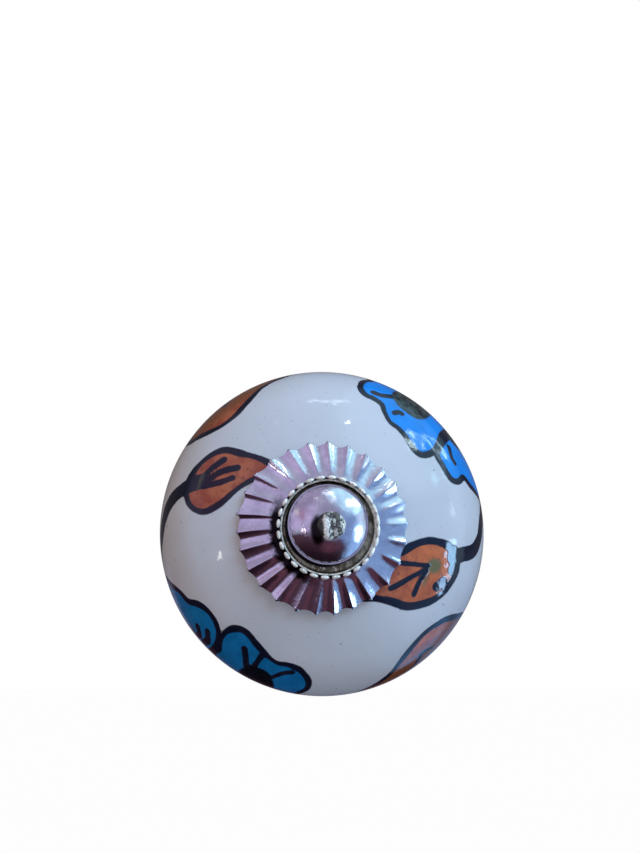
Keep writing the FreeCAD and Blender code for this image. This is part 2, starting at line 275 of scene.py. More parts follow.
def node(tree, kind, inputs=None, **settings):
    """Add a shader node, with its settings, and set or link its inputs by name or number."""
    made = tree.nodes.new("ShaderNode" + kind)
    for key, value in settings.items():
        setattr(made, key, value)
    for key, value in (inputs or {}).items():
        if isinstance(value, bpy.types.NodeSocket):
            tree.links.new(value, made.inputs[key])
        else:
            made.inputs[key].default_value = value
    return made


def mixed(tree, factor, first, second):
    """The colour between first and second."""
    return node(tree, "Mix", {0: factor, 6: first, 7: second}, data_type="RGBA").outputs[2]


def ramp(tree, value, low, high, start=0.0, end=1.0):
    """A smooth rise from start to end as the value goes from low to high."""
    names = {"Value": value, "From Min": low, "From Max": high, "To Min": start, "To Max": end}
    return node(tree, "MapRange", names, interpolation_type="SMOOTHSTEP").outputs[0]


def sums(tree, operation, first, second):
    """One step of arithmetic."""
    return node(tree, "Math", {0: first, 1: second}, operation=operation).outputs[0]


def new_material(name):
    """A material with its tree, its Principled shader and its Object coordinates."""
    material = bpy.data.materials.new(name)
    material.use_nodes = True
    tree = material.node_tree
    return material, tree, tree.nodes["Principled BSDF"], node(tree, "TexCoord").outputs["Object"]


def noise_at(tree, place, size, detail=2.0, roughness=0.5):
    """Soft noise whose lumps are about a size in metres."""
    inputs = {"Vector": place, "Scale": 1 / size, "Detail": detail, "Roughness": roughness}
    return node(tree, "TexNoise", inputs).outputs["Fac"]


glaze, tree, shader, place = new_material("painted_glaze")
ragged = sums(tree, "MULTIPLY", sums(tree, "SUBTRACT", noise_at(tree, place, 0.7 * mm, 3), 0.5), 0.12)
pressure = sums(tree, "MULTIPLY", sums(tree, "SUBTRACT", noise_at(tree, place, 4 * mm, 1), 0.5), 0.5)
wobble = sums(tree, "ADD", ragged, pressure)
depths = {}
for layer, shift in (
        ("ink", wobble), ("petals", ragged), ("leaves", ragged), ("hearts", wobble), ("smears", wobble)):
    read = node(tree, "Attribute", attribute_name=layer).outputs["Fac"]
    depths[layer] = sums(tree, "ADD", read, shift)
ink_mask = ramp(tree, depths["ink"], -0.07, 0.10)
heart_mask = ramp(tree, depths["hearts"], -0.15, 0.25)
petal_mask = ramp(tree, depths["petals"], -0.10, 0.12)
leaf_mask = ramp(tree, depths["leaves"], -0.10, 0.12)
apart = node(tree, "SeparateXYZ", {0: place}).outputs
height_up = apart["Z"]
along = node(tree, "Attribute", attribute_name="along").outputs["Fac"]

clouds = noise_at(tree, place, 9 * mm)
ware = mixed(tree, ramp(tree, clouds, 0.3, 0.7), (0.455, 0.485, 0.535, 1), (0.49, 0.515, 0.57, 1))
for speck_size, spacing in ((0.13 * mm, 2.4 * mm), (0.07 * mm, 0.9 * mm)):
    speck = node(tree, "TexVoronoi", {"Vector": place, "Scale": 1 / spacing})
    reach = speck_size / spacing
    speck_mask = ramp(tree, speck.outputs["Distance"], reach, 0.6 * reach)
    ware = mixed(tree, sums(tree, "MULTIPLY", speck_mask, 0.7), ware, (0.06, 0.04, 0.05, 1))

washes = noise_at(tree, place, 2.2 * mm, 4, 0.6)
strokes_seen = noise_at(tree, place, 0.8 * mm, 3)
terracotta = mixed(tree, ramp(tree, washes, 0.35, 0.65), (0.25, 0.055, 0.030, 1), (0.36, 0.108, 0.054, 1))
orange = mixed(tree, ramp(tree, washes, 0.35, 0.65), (0.33, 0.080, 0.034, 1), (0.50, 0.140, 0.048, 1))
terracotta = mixed(tree, ramp(tree, apart["X"], 4 * mm, 12 * mm), terracotta, orange)
terracotta = mixed(
    tree, ramp(tree, strokes_seen, 0.52, 0.75, 0.0, 0.6), terracotta, (0.11, 0.032, 0.026, 1))
terracotta = mixed(tree, ramp(tree, along, 19 * mm, 22 * mm), terracotta, (0.17, 0.058, 0.020, 1))
blue = mixed(tree, ramp(tree, washes, 0.3, 0.7), (0.0, 0.175, 0.565, 1), (0.0, 0.215, 0.69, 1))
deep_blue = mixed(tree, ramp(tree, washes, 0.3, 0.7), (0.003, 0.115, 0.29, 1), (0.006, 0.160, 0.40, 1))
blue = mixed(tree, ramp(tree, height_up, -6 * mm, 4 * mm), deep_blue, blue)
ink = mixed(tree, ramp(tree, washes, 0.4, 0.7), (0.003, 0.006, 0.018, 1), (0.012, 0.010, 0.022, 1))
olive = mixed(tree, ramp(tree, strokes_seen, 0.42, 0.60), (0.010, 0.014, 0.014, 1), (0.032, 0.052, 0.055, 1))
olive = mixed(tree, ramp(tree, height_up, 0.0, 6 * mm), (0.002, 0.004, 0.008, 1), olive)
smear_mask = ramp(tree, depths["smears"], -0.25, 0.45)
terracotta = mixed(tree, smear_mask, terracotta, (0.125, 0.115, 0.055, 1))
colour = mixed(tree, leaf_mask, ware, terracotta)
colour = mixed(tree, petal_mask, colour, blue)
colour = mixed(tree, ink_mask, colour, ink)
colour = mixed(tree, heart_mask, colour, olive)
tree.links.new(colour, shader.inputs["Base Color"])
shader.inputs["IOR"].default_value = 1.5
tree.links.new(ramp(tree, strokes_seen, 0.3, 0.7, 0.05, 0.10), shader.inputs["Roughness"])
paint_height = sums(tree, "MULTIPLY", sums(tree, "MAXIMUM", ink_mask, petal_mask), 0.010)
ripple = sums(tree, "MULTIPLY", noise_at(tree, place, 1.6 * mm, 2), 0.026)
height = sums(tree, "ADD", paint_height, ripple)
bump = node(tree, "Bump", {"Height": height, "Distance": mm, "Strength": 1.0})
tree.links.new(bump.outputs[0], shader.inputs["Normal"])

head = finished("painted_head", head_bm, glaze, ["ceramic_body"])
head_points = np.empty(len(head.data.vertices) * 3)
head.data.vertices.foreach_get("co", head_points)
head_points = head_points.reshape(-1, 3) / mm
glaze_along = np.empty(len(head_points))
head.data.attributes["along"].data.foreach_get("value", glaze_along)
glaze_along /= mm
glaze_reach = np.hypot(head_points[:, 0], head_points[:, 2])
glaze_clock = np.degrees(np.arctan2(head_points[:, 0], head_points[:, 2]))
paint_margin = 1.5
paint_margin_clock = 10.0
painting = {layer: np.full(len(head_points), -9.0) for layer in ("petals", "leaves", "ink", "hearts", "smears")}
for layer, outlines in (("petals", bloom_outlines), ("leaves", leaf_outlines)):
    for outline in outlines:
        painted_depth(painting[layer], outline, closed=True)
        width = bold_outline_width if outline is right_leaf else outline_width
        painted_depth(painting["ink"], outline + outline[:1], width)
for strokes, width in (
        (stems, stem_width), (stem_joints, stem_joint_width), (leaf_veins, leaf_vein_width),
        (bloom_veins, bloom_vein_width)):
    for stroke in strokes:
        painted_depth(painting["ink"], stroke, width)
for heart in hearts:
    painted_depth(painting["hearts"], heart, closed=True)
for smear in olive_smears:
    painted_depth(painting["smears"], smear, closed=True)
for layer, depth in painting.items():
    values = head.data.attributes.new(layer, "FLOAT", "POINT").data
    values.foreach_set("value", depth.astype(np.float32))

# Fluted rosette
# A thin washer pressed into 26 sharp pleats with a pinked rim, and bright plated. It has a
# plain flat round its hole, and it was fitted a little off the stud's axis.
rosette_low, rosette_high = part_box("fluted_rosette")
rosette_middle = (rosette_low + rosette_high) / 2
rosette_flat_place = seat_place - 0.35 * mm
pleat_count = 26
pleat_columns = 16
first_ridge = 3.7
tip_radius = 10.2 * mm
notch_depth = 0.50 * mm
flat_radius = 5.72 * mm
step_radius = 5.92 * mm
step_rise = 0.60 * mm
rosette_hole = 2.7 * mm
sheet_thickness = 0.35 * mm
crest_height = 0.46 * mm
valley_fall = 0.64 * mm
rosette_offset = Vector((-0.62 * mm, 0, -0.30 * mm))
hole_offset = Vector((0.56 * mm, 0, -0.07 * mm))

# How deep the pleats are pressed, how far each leans and how far it is twisted, round the clock
pleat_clocks = [0, 45, 90, 112, 128, 142, 165, 178, 195, 206, 218, 245, 258, 275, 300, 330, 360]
pleat_depths = [
    0.56, 0.66, 0.60, 0.46, 0.52, 0.80, 0.85, 0.55, 0.36, 0.50, 0.92, 0.92, 0.80, 0.60, 0.54, 0.56, 0.54]
pleat_leans = [0, 0, 0, 0, 0.05, 0.1, 0.1, 0, 0, 0.05, 0.05, 0.05, 0, -0.25, -0.15, 0, 0]
pleat_twists = [0, 0, 0, 0, 2, 4, 4, 2, 1, 1, 1, 2, 3, 5, 5, 2, 0]

press = random.Random(11)
pleats = [(press.uniform(-0.7, 0.7), press.uniform(0.85, 1.1), press.uniform(-0.12, 0.12))
          for pleat in range(pleat_count)]
ring_radii = [rosette_hole, 4 * mm, 5.4 * mm, flat_radius]
ring_radii += [step_radius + (tip_radius - step_radius) * step / 20 for step in range(21)]
bm = bmesh.new()
line = [bm.verts.new((radius, 0, 0)) for radius in ring_radii]
edges = [bm.edges.new(pair) for pair in zip(line, line[1:])]
bmesh.ops.spin(
    bm, geom=line + edges, cent=(0, 0, 0), axis=(0, 1, 0), angle=math.tau,
    steps=pleat_count * pleat_columns, use_merge=True)
for vert in bm.verts:
    radius = math.hypot(vert.co.x, vert.co.z)
    clock = math.degrees(math.atan2(vert.co.x, vert.co.z)) % 360
    turn = round((clock - first_ridge) * pleat_count * pleat_columns / 360) / pleat_columns
    clock = first_ridge + turn * 360 / pleat_count
    pleat = round(turn)
    ridge_clock = (first_ridge + pleat * 360 / pleat_count) % 360
    skew, strength, stretch = pleats[pleat % pleat_count]
    lean = round(np.interp(ridge_clock, pleat_clocks, pleat_leans) * pleat_columns) / pleat_columns
    flank = 0.5 + lean if turn - pleat < lean else 0.5 - lean
    share = min(max((radius - step_radius) / (tip_radius - step_radius), 0), 1)
    step_share = min(max((radius - flat_radius) / (step_radius - flat_radius), 0), 1)
    flat_share = 0.02 + 0.20 * max(0.0, math.cos(math.radians(clock - 80)))
    risen = min(max((share - flat_share) / (1 - flat_share), 0), 1)
    crest = 1 - math.sin(math.pi / 2 * min(abs(turn - pleat - lean) / flank, 1))
    cone = step_share * step_rise - share * (step_rise + valley_fall)
    depth = crest_height * strength * np.interp(ridge_clock, pleat_clocks, pleat_depths)
    height = cone + crest * depth * (1 - (1 - risen) ** 2.5)
    notch = 1 - crest
    new_radius = radius + share * (stretch * mm * crest - notch_depth * notch ** 0.75)
    twist = np.interp(clock % 360, pleat_clocks, pleat_twists) * (1 - 0.6 * share)
    new_clock = math.radians(clock + twist + share * skew * crest)
    vert.co = hole_offset * (1 - share) + Vector((
        new_radius * math.sin(new_clock), rosette_flat_place - height, new_radius * math.cos(new_clock)))
bmesh.ops.recalc_face_normals(bm, faces=bm.faces)
if sum(face.normal.y for face in bm.faces) > 0:
    bmesh.ops.reverse_faces(bm, faces=bm.faces)
bmesh.ops.solidify(bm, geom=bm.faces, thickness=sheet_thickness)
bmesh.ops.translate(bm, verts=bm.verts, vec=rosette_offset)


def new_group(name, inputs, outputs):
    """A shader node group with named sockets, and the nodes that bring values in and out of it."""
    group = bpy.data.node_groups.new(name, "ShaderNodeTree")
    for socket, kind in inputs.items():
        group.interface.new_socket(socket, in_out="INPUT", socket_type="NodeSocket" + kind)
    for socket, kind in outputs.items():
        group.interface.new_socket(socket, in_out="OUTPUT", socket_type="NodeSocket" + kind)
    return group, group.nodes.new("NodeGroupInput").outputs, group.nodes.new("NodeGroupOutput").inputs


# Plating gets smudged by fingers and dull in soft patches, finer or coarser on each piece
smudged_plating, taken, given = new_group(
    "smudged_plating",
    {"Place": "Vector", "Lump Size": "Float", "Dull Colour": "Color", "Bright Colour": "Color",
     "Least Roughness": "Float", "Most Roughness": "Float"},
    {"Colour": "Color", "Roughness": "Float", "Height": "Float"})
lumps = node(smudged_plating, "TexNoise", {
    "Vector": taken["Place"], "Scale": sums(smudged_plating, "DIVIDE", 1.0, taken["Lump Size"]),
    "Detail": 3.5, "Roughness": 0.6}).outputs["Fac"]
smudge_mask = ramp(smudged_plating, lumps, 0.35, 0.65)
smudged_plating.links.new(
    mixed(smudged_plating, smudge_mask, taken["Bright Colour"], taken["Dull Colour"]), given["Colour"])
smudged_plating.links.new(
    ramp(smudged_plating, lumps, 0.3, 0.7, taken["Least Roughness"], taken["Most Roughness"]),
    given["Roughness"])
smudged_plating.links.new(lumps, given["Height"])

chrome, tree, shader, place = new_material("rosette_plating")
shader.inputs["Metallic"].default_value = 1.0
plating = node(tree, "Group", {
    "Place": place, "Lump Size": 2.5 * mm, "Dull Colour": (0.66, 0.63, 0.72, 1),
    "Bright Colour": (0.84, 0.82, 0.88, 1), "Least Roughness": 0.10, "Most Roughness": 0.22},
    node_tree=smudged_plating).outputs
apart = node(tree, "SeparateXYZ", {0: place}).outputs
cup_middle = rosette_offset + hole_offset
side = sums(tree, "SUBTRACT", apart["X"], cup_middle.x)
rise = sums(tree, "SUBTRACT", apart["Z"], cup_middle.z)
reach = sums(tree, "SQRT", sums(tree, "ADD", sums(tree, "POWER", side, 2.0), sums(tree, "POWER", rise, 2.0)), 0.0)
# Painted shade: the pleats turn almost black next to the ring on their lower left side, where the ring shades them.
leftward = sums(tree, "ADD", sums(tree, "MULTIPLY", side, -0.92), sums(tree, "MULTIPLY", rise, -0.38))
shaded_side = ramp(tree, sums(tree, "DIVIDE", leftward, reach), 0.45, 0.80)
ragged = sums(tree, "MULTIPLY", noise_at(tree, place, 0.6 * mm, 2), 1.2 * mm)
ring_shade_mask = sums(tree, "MULTIPLY", ramp(tree, sums(tree, "ADD", reach, ragged), 7.8 * mm, 7.1 * mm), shaded_side)
tree.links.new(
    mixed(tree, ring_shade_mask, plating["Colour"], (0.015, 0.010, 0.014, 1)), shader.inputs["Base Color"])
tree.links.new(plating["Roughness"], shader.inputs["Roughness"])
bump = node(tree, "Bump", {"Height": noise_at(tree, place, 0.7 * mm, 2), "Distance": mm, "Strength": 0.03})
tree.links.new(bump.outputs[0], shader.inputs["Normal"])
rosette = finished("pressed_rosette", bm, chrome, ["fluted_rosette"], 80)

# Beaded ring
# A shallow stamped cup over the rosette, with a smooth rolled rim and a row of 28 beads pressed
# round its outside. The rim is bright, and the inside is dull and yellowed.
ring_low, ring_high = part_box("beaded_ring")
ring_offset = Vector((-0.06 * mm, 0, -0.37 * mm))
ring_back = ring_high.y
ring_front = ring_low.y
ring_inner = 5.36 * mm
ring_wall = 0.35 * mm
ring_floor = 0.5 * mm
ring_hole = 2.56 * mm
rim_round = 0.15 * mm
bead_count = 28
first_bead = 4.0
bead_middle_radius = 5.81 * mm
bead_sizes = Vector((0.50 * mm, 0.31 * mm, 0.23 * mm))
bead_place = ring_front + 0.34 * mm
rim_setback = 0.30 * mm

outer = ring_inner + ring_wall
rim_middle = Vector((ring_inner + ring_wall / 2, ring_front + rim_setback + ring_wall / 2, 0))
cup_line = [
    Vector((ring_hole, ring_back, 0)), Vector((outer, ring_back, 0)), Vector((outer, rim_middle.y, 0))]
cup_line += arc(rim_middle, Vector((outer, rim_middle.y, 0)), rim_middle - Vector((0, ring_wall / 2, 0)), 0.05 * mm)[1:]
cup_line += arc(
    rim_middle, rim_middle - Vector((0, ring_wall / 2, 0)), Vector((ring_inner, rim_middle.y, 0)), 0.05 * mm)[1:]
fillet = 0.4 * mm
fillet_centre = Vector((ring_inner - fillet, ring_back - ring_floor - fillet, 0))
cup_line += arc(
    fillet_centre, fillet_centre + Vector((fillet, 0, 0)), fillet_centre + Vector((0, fillet, 0)), 0.08 * mm)
cup_line += [Vector((ring_hole, ring_back - ring_floor, 0))]
bm = turned(cup_line, 168, "bead", [0.0] * len(cup_line))
bead_layer = bm.verts.layers.float["bead"]
for bead in range(bead_count):
    clock = math.radians(first_bead + 360 * bead / bead_count)
    made = bmesh.ops.create_uvsphere(bm, u_segments=16, v_segments=10, radius=1)["verts"]
    for vert in made:
        vert[bead_layer] = 1.0
    worn_flat = max(0.0, math.cos(2 * (clock - math.radians(88)))) if bead < bead_count / 2 else 0.0
    bmesh.ops.scale(bm, verts=made, vec=bead_sizes + Vector((0.20 * mm * worn_flat ** 0.5, 0, 0)))
    bmesh.ops.translate(bm, verts=made, vec=(0, bead_place, bead_middle_radius))
    bmesh.ops.rotate(bm, verts=made, cent=(0, 0, 0), matrix=Matrix.Rotation(clock, 3, "Y"))
bmesh.ops.translate(bm, verts=bm.verts, vec=ring_offset)

ring_metal, tree, shader, place = new_material("ring_plating")
shader.inputs["Metallic"].default_value = 1.0
apart = node(tree, "SeparateXYZ", {0: place}).outputs
side = sums(tree, "POWER", sums(tree, "SUBTRACT", apart["X"], ring_offset.x), 2.0)
rise = sums(tree, "POWER", sums(tree, "SUBTRACT", apart["Z"], ring_offset.z), 2.0)
reach = sums(tree, "SQRT", sums(tree, "ADD", side, rise), 0.0)
wall_mask = ramp(tree, reach, ring_inner - 0.10 * mm, ring_inner - 0.02 * mm)
on_rim = sums(
    tree, "MULTIPLY", ramp(tree, reach, ring_inner - 0.04 * mm, ring_inner + 0.02 * mm),
    ramp(tree, reach, ring_inner + 0.25 * mm, ring_inner + 0.17 * mm))
rim_front = ring_front + rim_setback
rim_mask = sums(tree, "MULTIPLY", on_rim, ramp(tree, apart["Y"], rim_front + 0.16 * mm, rim_front + 0.08 * mm))
bead_mask = node(tree, "Attribute", attribute_name="bead").outputs["Fac"]
grime = noise_at(tree, place, 0.8 * mm, 4, 0.65)
flecks = noise_at(tree, place, 0.35 * mm, 3, 0.6)
land = mixed(tree, ramp(tree, grime, 0.40, 0.62), (0.15, 0.135, 0.085, 1), (0.52, 0.47, 0.33, 1))
# Painted glints: small bright flecks on the land.
land = mixed(tree, ramp(tree, flecks, 0.60, 0.68), land, (1.0, 0.97, 0.82, 1))
# Painted shadow: the land turns black beside the dome's lower left edge, where the dome shades it.
side = sums(tree, "POWER", sums(tree, "ADD", apart["X"], 0.34 * mm), 2.0)
rise = sums(tree, "POWER", sums(tree, "ADD", apart["Z"], 0.16 * mm), 2.0)
from_dome = sums(tree, "SQRT", sums(tree, "ADD", side, rise), 0.0)
land = mixed(tree, ramp(tree, from_dome, 4.82 * mm, 4.66 * mm), land, (0.008, 0.008, 0.008, 1))
# The cup's walls and the gaps between the beads are dark with grime and painted shade, and a painted highlight turns
# them cream on the right.
hollow_grime_shade_and_glint = mixed(tree, grime, (0.02, 0.02, 0.022, 1), (0.12, 0.11, 0.10, 1))
side = sums(tree, "DIVIDE", apart["X"], reach)
hollow_grime_shade_and_glint = mixed(tree, ramp(tree, side, 0.72, 0.92), hollow_grime_shade_and_glint, (0.66, 0.62, 0.52, 1))
rim_worn = mixed(tree, ramp(tree, flecks, 0.42, 0.60), (0.70, 0.68, 0.60, 1), (0.34, 0.32, 0.28, 1))
beads_worn = mixed(tree, ramp(tree, flecks, 0.45, 0.65), (0.98, 0.95, 0.88, 1), (0.58, 0.55, 0.48, 1))
colour = mixed(tree, rim_mask, mixed(tree, wall_mask, land, hollow_grime_shade_and_glint), rim_worn)
tree.links.new(mixed(tree, bead_mask, colour, beads_worn), shader.inputs["Base Color"])
tree.links.new(ramp(tree, bead_mask, 0.0, 1.0, 0.24, 0.28), shader.inputs["Roughness"])
tree.links.new(
    ramp(tree, sums(tree, "MAXIMUM", bead_mask, rim_mask), 0.0, 1.0, 0.80, 0.35), shader.inputs["Metallic"])
bump = node(tree, "Bump", {"Height": flecks, "Distance": mm, "Strength": 0.10})
tree.links.new(bump.outputs[0], shader.inputs["Normal"])
ring = finished("beaded_cup", bm, ring_metal, ["beaded_ring"], 40)

# Dome cap
# A spun and plated dome with a fine lip and an upright skirt that stands on the cup's floor. The
# stud comes through its top, and the dome is a little dished there by the hammering.
dome_low, dome_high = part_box("dome_cap")
dome_foot = dome_high.y
lip_radius = dome_high.x
skirt_radius = lip_radius - 0.2 * mm
skirt_height = 1.0 * mm
lip_height = 0.25 * mm
dome_rise = 1.85 * mm
dome_power = 2.4
dome_wall = 0.55 * mm
dome_hole = 1.3 * mm
dish_radius = 2.3 * mm
dish_depth = 0.10 * mm
dome_offset = Vector((-0.12 * mm, 0, -0.06 * mm))
lip_front = dome_foot - skirt_height - lip_height
dome_top = lip_front - dome_rise
lip_round = 0.11 * mm


def dome_curve(start, end, drop, count):
    """Points of the dome's profile from one radius to another, set back by the sheet's thickness."""
    radii = [start + (end - start) * step / count for step in range(count + 1)]
    return [Vector((radius, dome_top + drop + dome_rise * (radius / lip_radius) ** dome_power, 0))
            for radius in radii]


dome_line = [
    Vector((skirt_radius - dome_wall, dome_foot, 0)), Vector((skirt_radius, dome_foot, 0)),
    Vector((skirt_radius, lip_front + lip_height, 0)), Vector((lip_radius - 0.04 * mm, lip_front + lip_height, 0)),
    Vector((lip_radius, lip_front + lip_height - 0.05 * mm, 0)), Vector((lip_radius, lip_front + 0.05 * mm, 0)),
    Vector((lip_radius - 0.04 * mm, lip_front - 0.02 * mm, 0)),
    Vector((lip_radius - lip_round, lip_front - 0.04 * mm, 0)),
    Vector((lip_radius - 2 * lip_round, lip_front - 0.02 * mm, 0))]
dome_line += dome_curve(lip_radius - 2.6 * lip_round, dome_hole, 0, 32)
dome_line += dome_curve(dome_hole, skirt_radius - dome_wall, dome_wall, 12)
bm = turned(dome_line, 180)
for vert in bm.verts:
    reach = math.hypot(vert.co.x, vert.co.z)
    if reach < dish_radius:
        vert.co.y += dish_depth * (1 - (reach / dish_radius) ** 2) ** 2
bmesh.ops.translate(bm, verts=bm.verts, vec=dome_offset)

dome_metal, tree, shader, place = new_material("dome_plating")
shader.inputs["Metallic"].default_value = 1.0
plating = node(tree, "Group", {
    "Place": place, "Lump Size": 1.4 * mm, "Dull Colour": (0.62, 0.58, 0.68, 1),
    "Bright Colour": (0.80, 0.77, 0.84, 1), "Least Roughness": 0.12, "Most Roughness": 0.22},
    node_tree=smudged_plating).outputs
apart = node(tree, "SeparateXYZ", {0: place}).outputs
# Painted shadow and reflection: a dark patch to the lower left of the stud stands for the stud's shadow and its dark
# reflection in the dome.
stud_shadow_middle = Vector((-1.35 * mm, 0, -0.85 * mm))
stud_shadow_half = Vector((1.02 * mm, 0, 1.8 * mm))
side = sums(tree, "DIVIDE", sums(tree, "SUBTRACT", apart["X"], stud_shadow_middle.x), stud_shadow_half.x)
rise = sums(tree, "DIVIDE", sums(tree, "SUBTRACT", apart["Z"], stud_shadow_middle.z), stud_shadow_half.z)
squares = sums(tree, "ADD", sums(tree, "POWER", side, 2.0), sums(tree, "POWER", rise, 2.0))
stud_shadow_mask = ramp(tree, sums(tree, "ADD", squares, plating["Height"]), 1.7, 0.9)
tree.links.new(
    mixed(tree, stud_shadow_mask, plating["Colour"], (0.025, 0.018, 0.022, 1)), shader.inputs["Base Color"])
tree.links.new(plating["Roughness"], shader.inputs["Roughness"])
squares = sums(tree, "ADD", sums(tree, "POWER", apart["X"], 2.0), sums(tree, "POWER", apart["Z"], 2.0))
from_axis = node(tree, "CombineXYZ", {"X": sums(tree, "SQRT", squares, 0.0)}).outputs[0]
spin_marks = noise_at(tree, from_axis, 0.25 * mm, 3, 0.6)
height = sums(tree, "ADD", plating["Height"], sums(tree, "MULTIPLY", spin_marks, 0.3))
bump = node(tree, "Bump", {"Height": height, "Distance": mm, "Strength": 0.05})
tree.links.new(bump.outputs[0], shader.inputs["Normal"])
dome = finished("spun_dome", bm, dome_metal, ["dome_cap"], 40)

# Stud
# A mild steel M4 stud. Its front end was reduced, passed through the dome and hammered over, and
# it is cracked and rough there. The rest has a rolled thread.
stud_low, stud_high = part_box("threaded_stud")
thread_radius = stud_high.x
thread_pitch = 0.7 * mm
thread_depth = 0.43 * mm
thread_start = -0.6 * mm
shank_radius = 1.77 * mm
stud_end = stud_high.y
chamfer = 0.5 * mm
turn_columns = 32
peen_radius = 1.62 * mm
peen_offset = Vector((0.18 * mm, 0, -0.35 * mm))
peen_front = stud_low.y

turns = math.ceil((stud_end - thread_start) / thread_pitch) + 2
bm = bmesh.new()
crest_half = 0.06 * mm
root_half = 0.09 * mm
flank = (thread_pitch - 2 * crest_half - 2 * root_half) / 2
thread_line = [
    (thread_radius - thread_depth, 0), (thread_radius - thread_depth, root_half),
    (thread_radius, root_half + flank), (thread_radius, root_half + flank + 2 * crest_half),
    (thread_radius - thread_depth, thread_pitch - root_half), (thread_radius - thread_depth, thread_pitch)]
first_place = thread_start - thread_pitch
corners = [bm.verts.new((radius, first_place + y, 0)) for radius, y in thread_line]
sides = [bm.edges.new(pair) for pair in zip(corners, corners[1:])]
bmesh.ops.spin(
    bm, geom=corners + sides, cent=(0, 0, 0), axis=(0, 1, 0), angle=math.tau * turns,
    steps=turn_columns * turns, dvec=(0, thread_pitch / turn_columns, 0))
bmesh.ops.remove_doubles(bm, verts=bm.verts, dist=0.002 * mm)
for cut_place, direction in ((thread_start, -1), (stud_end, 1)):
    geometry = bm.verts[:] + bm.edges[:] + bm.faces[:]
    cut = bmesh.ops.bisect_plane(
        bm, geom=geometry, plane_co=(0, cut_place, 0), plane_no=(0, direction, 0), clear_outer=True)
    rim = [item for item in cut["geom_cut"] if isinstance(item, bmesh.types.BMEdge)]
    bmesh.ops.edgenet_fill(bm, edges=rim)
for vert in bm.verts:
    reach = math.hypot(vert.co.x, vert.co.z)
    most = thread_radius - max(0.0, vert.co.y - (stud_end - chamfer))
    if reach > most:
        vert.co.x *= most / reach
        vert.co.z *= most / reach
bmesh.ops.recalc_face_normals(bm, faces=bm.faces)
shank_front = dome_top + dome_wall + 0.1 * mm
shank = bmesh.ops.create_cone(
    bm, cap_ends=True, segments=48, radius1=shank_radius, radius2=shank_radius,
    depth=thread_start - shank_front)["verts"]
bmesh.ops.rotate(bm, verts=shank, cent=(0, 0, 0), matrix=Matrix.Rotation(math.pi / 2, 3, "X"))
bmesh.ops.translate(bm, verts=shank, vec=(0, (thread_start + shank_front) / 2, 0))
peen = bmesh.ops.create_icosphere(bm, subdivisions=6, radius=1)["verts"]
peen_height = 0.95 * mm
peen_middle = peen_front + 0.60 * mm
ridge_place = -0.60 * mm
ridge_half = 0.30 * mm
groove_place = 0.10 * mm
groove_half = 0.14 * mm
for vert in peen:
    outward = vert.co.normalized()
    lump = noise.noise(outward * 1.6 + Vector((3, 1, 7)))
    chip = abs(noise.noise(outward * 3.1 + Vector((5, 2, 1))))
    rough = 1 + 0.10 * lump
    square = max(abs(outward.y), 0.62)
    point = Vector((
        outward.x * peen_radius * rough, 0.55 * peen_height * outward.y * rough / square ** 0.4,
        outward.z * peen_radius * rough))
    if outward.y < 0:
        stray = 0.32 * mm * noise.noise(Vector((4, 0, point.z / mm * 0.9)))
        ridge = math.exp(-((point.x - ridge_place - stray) / ridge_half) ** 2)
        groove = math.exp(-((point.x - groove_place - stray) / groove_half) ** 2)
        crack = max(0.0, 0.07 - chip) / 0.07
        grain = noise.noise(point / mm * 5) + 0.5 * noise.noise(point / mm * 11)
        point.y += abs(outward.y) * mm * (0.13 * groove - 0.12 * ridge + 0.12 * crack + 0.05 * grain)
    vert.co = point + Vector((0, peen_middle, 0)) + peen_offset

stud_metal, tree, shader, place = new_material("stud_steel")
shader.inputs["Metallic"].default_value = 1.0
plating = node(tree, "Group", {
    "Place": place, "Lump Size": 0.5 * mm, "Dull Colour": (0.40, 0.39, 0.36, 1),
    "Bright Colour": (0.90, 0.89, 0.83, 1), "Least Roughness": 0.24, "Most Roughness": 0.42},
    node_tree=smudged_plating).outputs
front_part = ramp(tree, node(tree, "SeparateXYZ", {0: place}).outputs["Y"], -34 * mm, -35.6 * mm)
swirl = node(tree, "TexNoise", {"Vector": place, "Scale": 1 / (0.8 * mm), "Detail": 3.0}).outputs["Color"]
bent = node(tree, "VectorMath", {
    0: swirl, 1: (0.9 * mm, 0.9 * mm, 0.9 * mm), 2: place}, operation="MULTIPLY_ADD").outputs[0]
apart = node(tree, "SeparateXYZ", {0: bent}).outputs
side = sums(tree, "SUBTRACT", apart["X"], peen_offset.x + 0.45 * mm)
rise = sums(tree, "SUBTRACT", apart["Z"], peen_offset.z + 0.45 * mm)
slanted = node(tree, "Mapping", {
    "Vector": bent, "Rotation": (0, math.radians(12), 0), "Scale": (1.0, 1.0, 0.45)}).outputs[0]
grains = {"Vector": slanted, "Scale": 1 / (0.46 * mm)}
grain_edge = node(tree, "TexVoronoi", grains, feature="DISTANCE_TO_EDGE").outputs["Distance"]
splits = ramp(tree, grain_edge, 0.12, 0.02)
facets = ramp(tree, node(tree, "TexVoronoi", grains).outputs["Color"], 0.30, 0.70)
hammered = mixed(tree, facets, (0.17, 0.165, 0.15, 1), (0.66, 0.65, 0.60, 1))
# Painted highlight: a bright strip along the hammered ridge, with fewer cracks on it.
ridge_highlight = ramp(tree, sums(tree, "ABSOLUTE", sums(tree, "SUBTRACT", side, ridge_place), 0.0), 0.40 * mm, 0.20 * mm)
ridge_highlight = sums(tree, "MULTIPLY", ridge_highlight, ramp(tree, rise, 1.1 * mm, 0.6 * mm))
hammered = mixed(tree, ridge_highlight, hammered, (0.97, 0.96, 0.90, 1))
